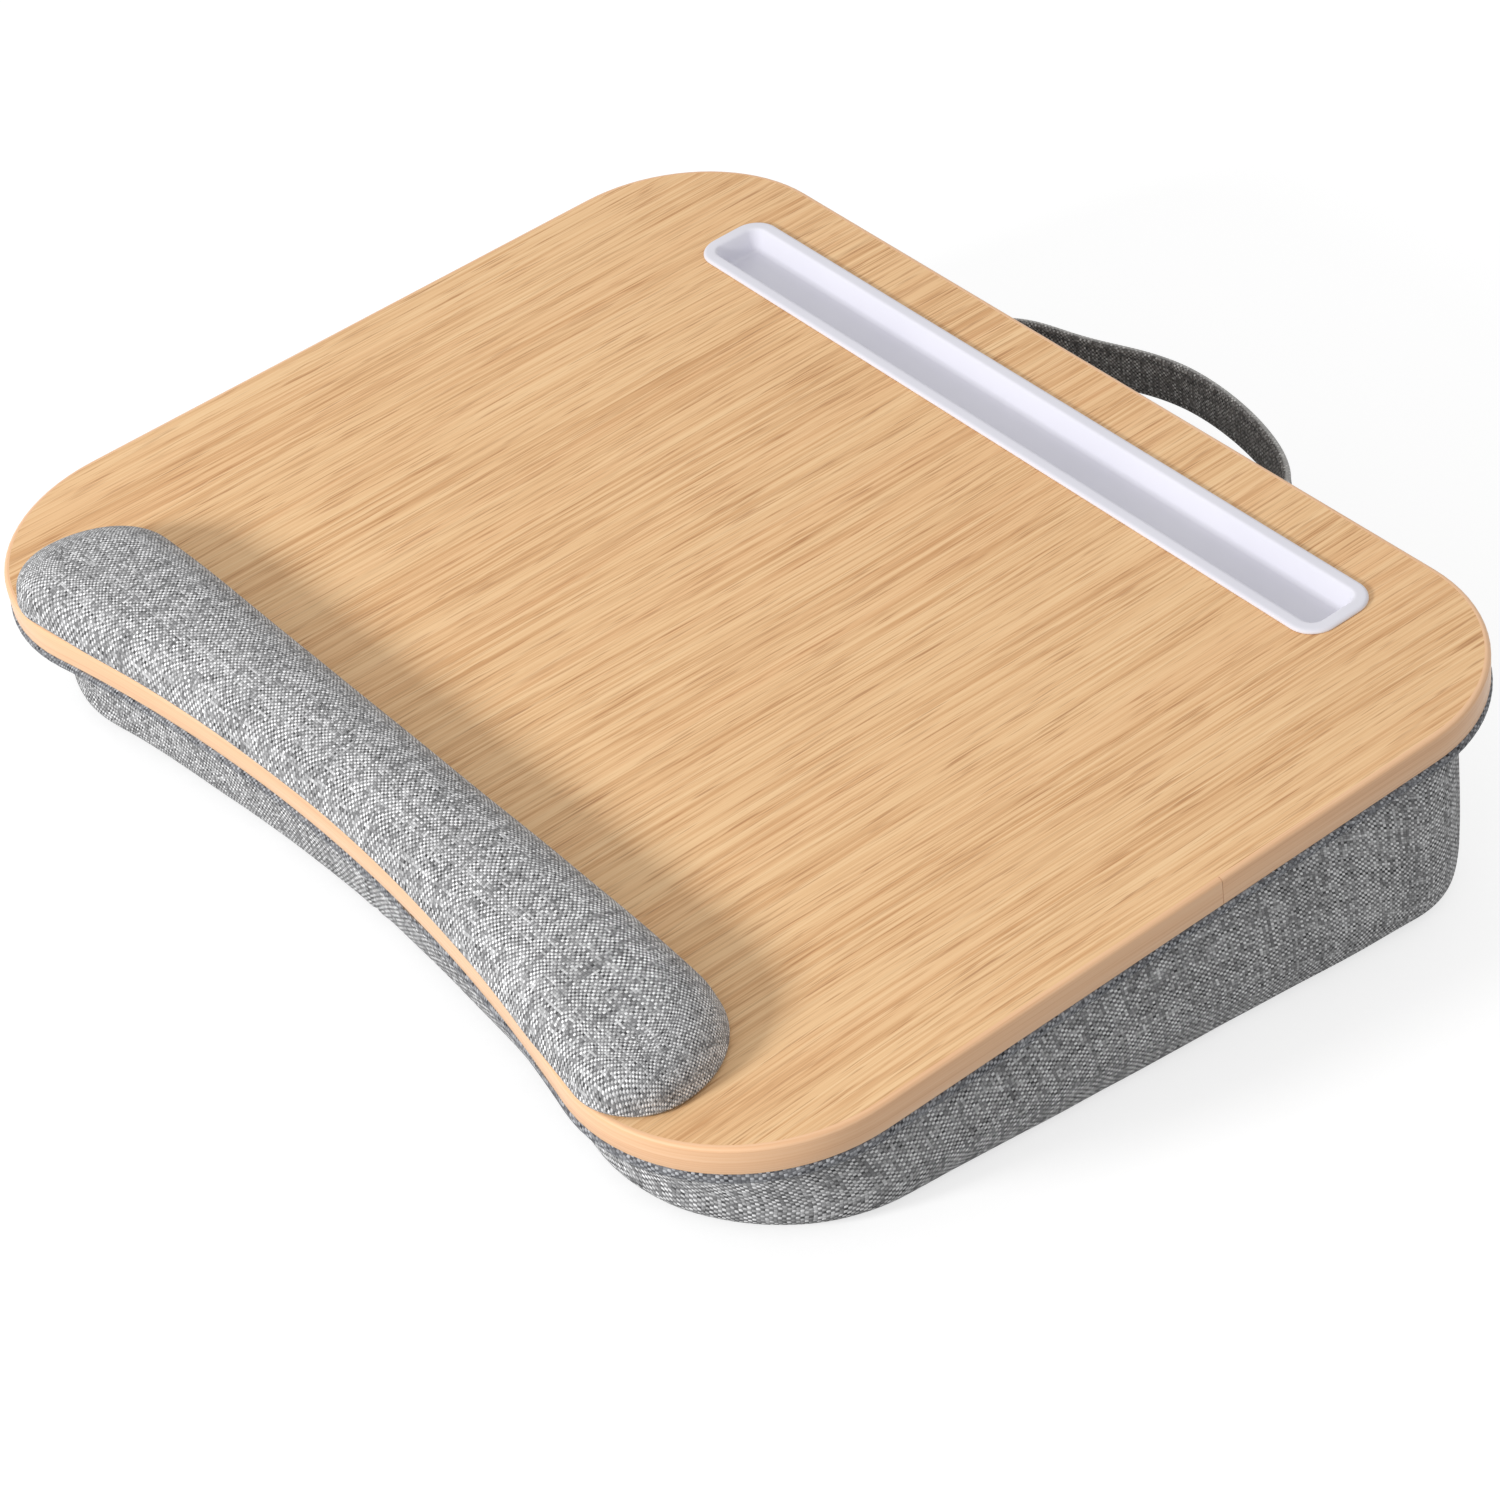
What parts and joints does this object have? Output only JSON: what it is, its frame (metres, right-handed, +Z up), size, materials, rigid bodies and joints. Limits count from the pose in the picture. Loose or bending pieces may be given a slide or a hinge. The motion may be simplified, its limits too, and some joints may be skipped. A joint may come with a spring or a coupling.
{
  "type": "lap desk",
  "caption": "Lap desk: rounded wooden board with a padded wrist rest and a phone slot, sloping on a soft wedge cushion, with a strap handle at the back.",
  "frame": {"origin": "on the table under the middle of the board's face, on the flat underside of the cushion", "axes": "+X to the right for the person who uses it, +Y to the back where the strap is, +Z up"},
  "size_m": [0.4308, 0.3753, 0.0918],
  "materials": {
    "board_core": "raw medium-density fibreboard",
    "top_laminate": "satin oak-look laminate with fine straight grain",
    "backing_laminate": "plain brown balancing sheet",
    "edge_band": "satin oak-look edge band",
    "slot_tray": "white, softly glossy",
    "wrist_tape": "white double-sided foam tape",
    "wrist_base": "hardboard",
    "wrist_foam": "soft open-cell foam",
    "wrist_cover": "heathered grey linen weave",
    "backer_panel": "hardboard",
    "panel_fabric": "heathered grey linen weave",
    "panel_screws": "zinc plated",
    "cushion_foam": "soft open-cell foam",
    "cushion_gusset": "heathered grey linen weave",
    "cushion_bottom": "plain grey cloth",
    "top_seam": "folded seam allowance",
    "bottom_seam": "sewn cloth seam",
    "gusset_seam": "polyester thread",
    "strap_anchors": "dark grey linen weave",
    "strap_tacks": "polyester thread",
    "strap_fabric": "dark grey linen weave",
    "strap_webbing": "polypropylene webbing"
  },
  "bodies": {
    "desk": {"board_core": "board_core", "top_laminate": "top_laminate", "backing_laminate": "backing_laminate", "edge_band": "edge_band", "slot_tray": "slot_tray", "wrist_tape": "wrist_tape", "wrist_base": "wrist_base", "wrist_foam": "wrist_foam", "wrist_cover": "wrist_cover", "backer_panel": "backer_panel", "panel_fabric": "panel_fabric", "panel_screws": "panel_screws", "cushion_foam": "cushion_foam", "cushion_gusset": "cushion_gusset", "cushion_bottom": "cushion_bottom", "top_seam": "top_seam", "bottom_seam": "bottom_seam", "gusset_seam": "gusset_seam", "strap_anchors": "strap_anchors", "strap_tacks": "strap_tacks"},
    "strap": {"strap_fabric": "strap_fabric", "strap_webbing": "strap_webbing"}
  },
  "joints": [
    {"name": "strap_swing", "type": "hinge", "parent": "desk", "child": "strap", "pos_m": [0, 0.17188, 0.06124], "axis": [1, 0, 0], "range_deg": [-75, 55]}
  ]
}
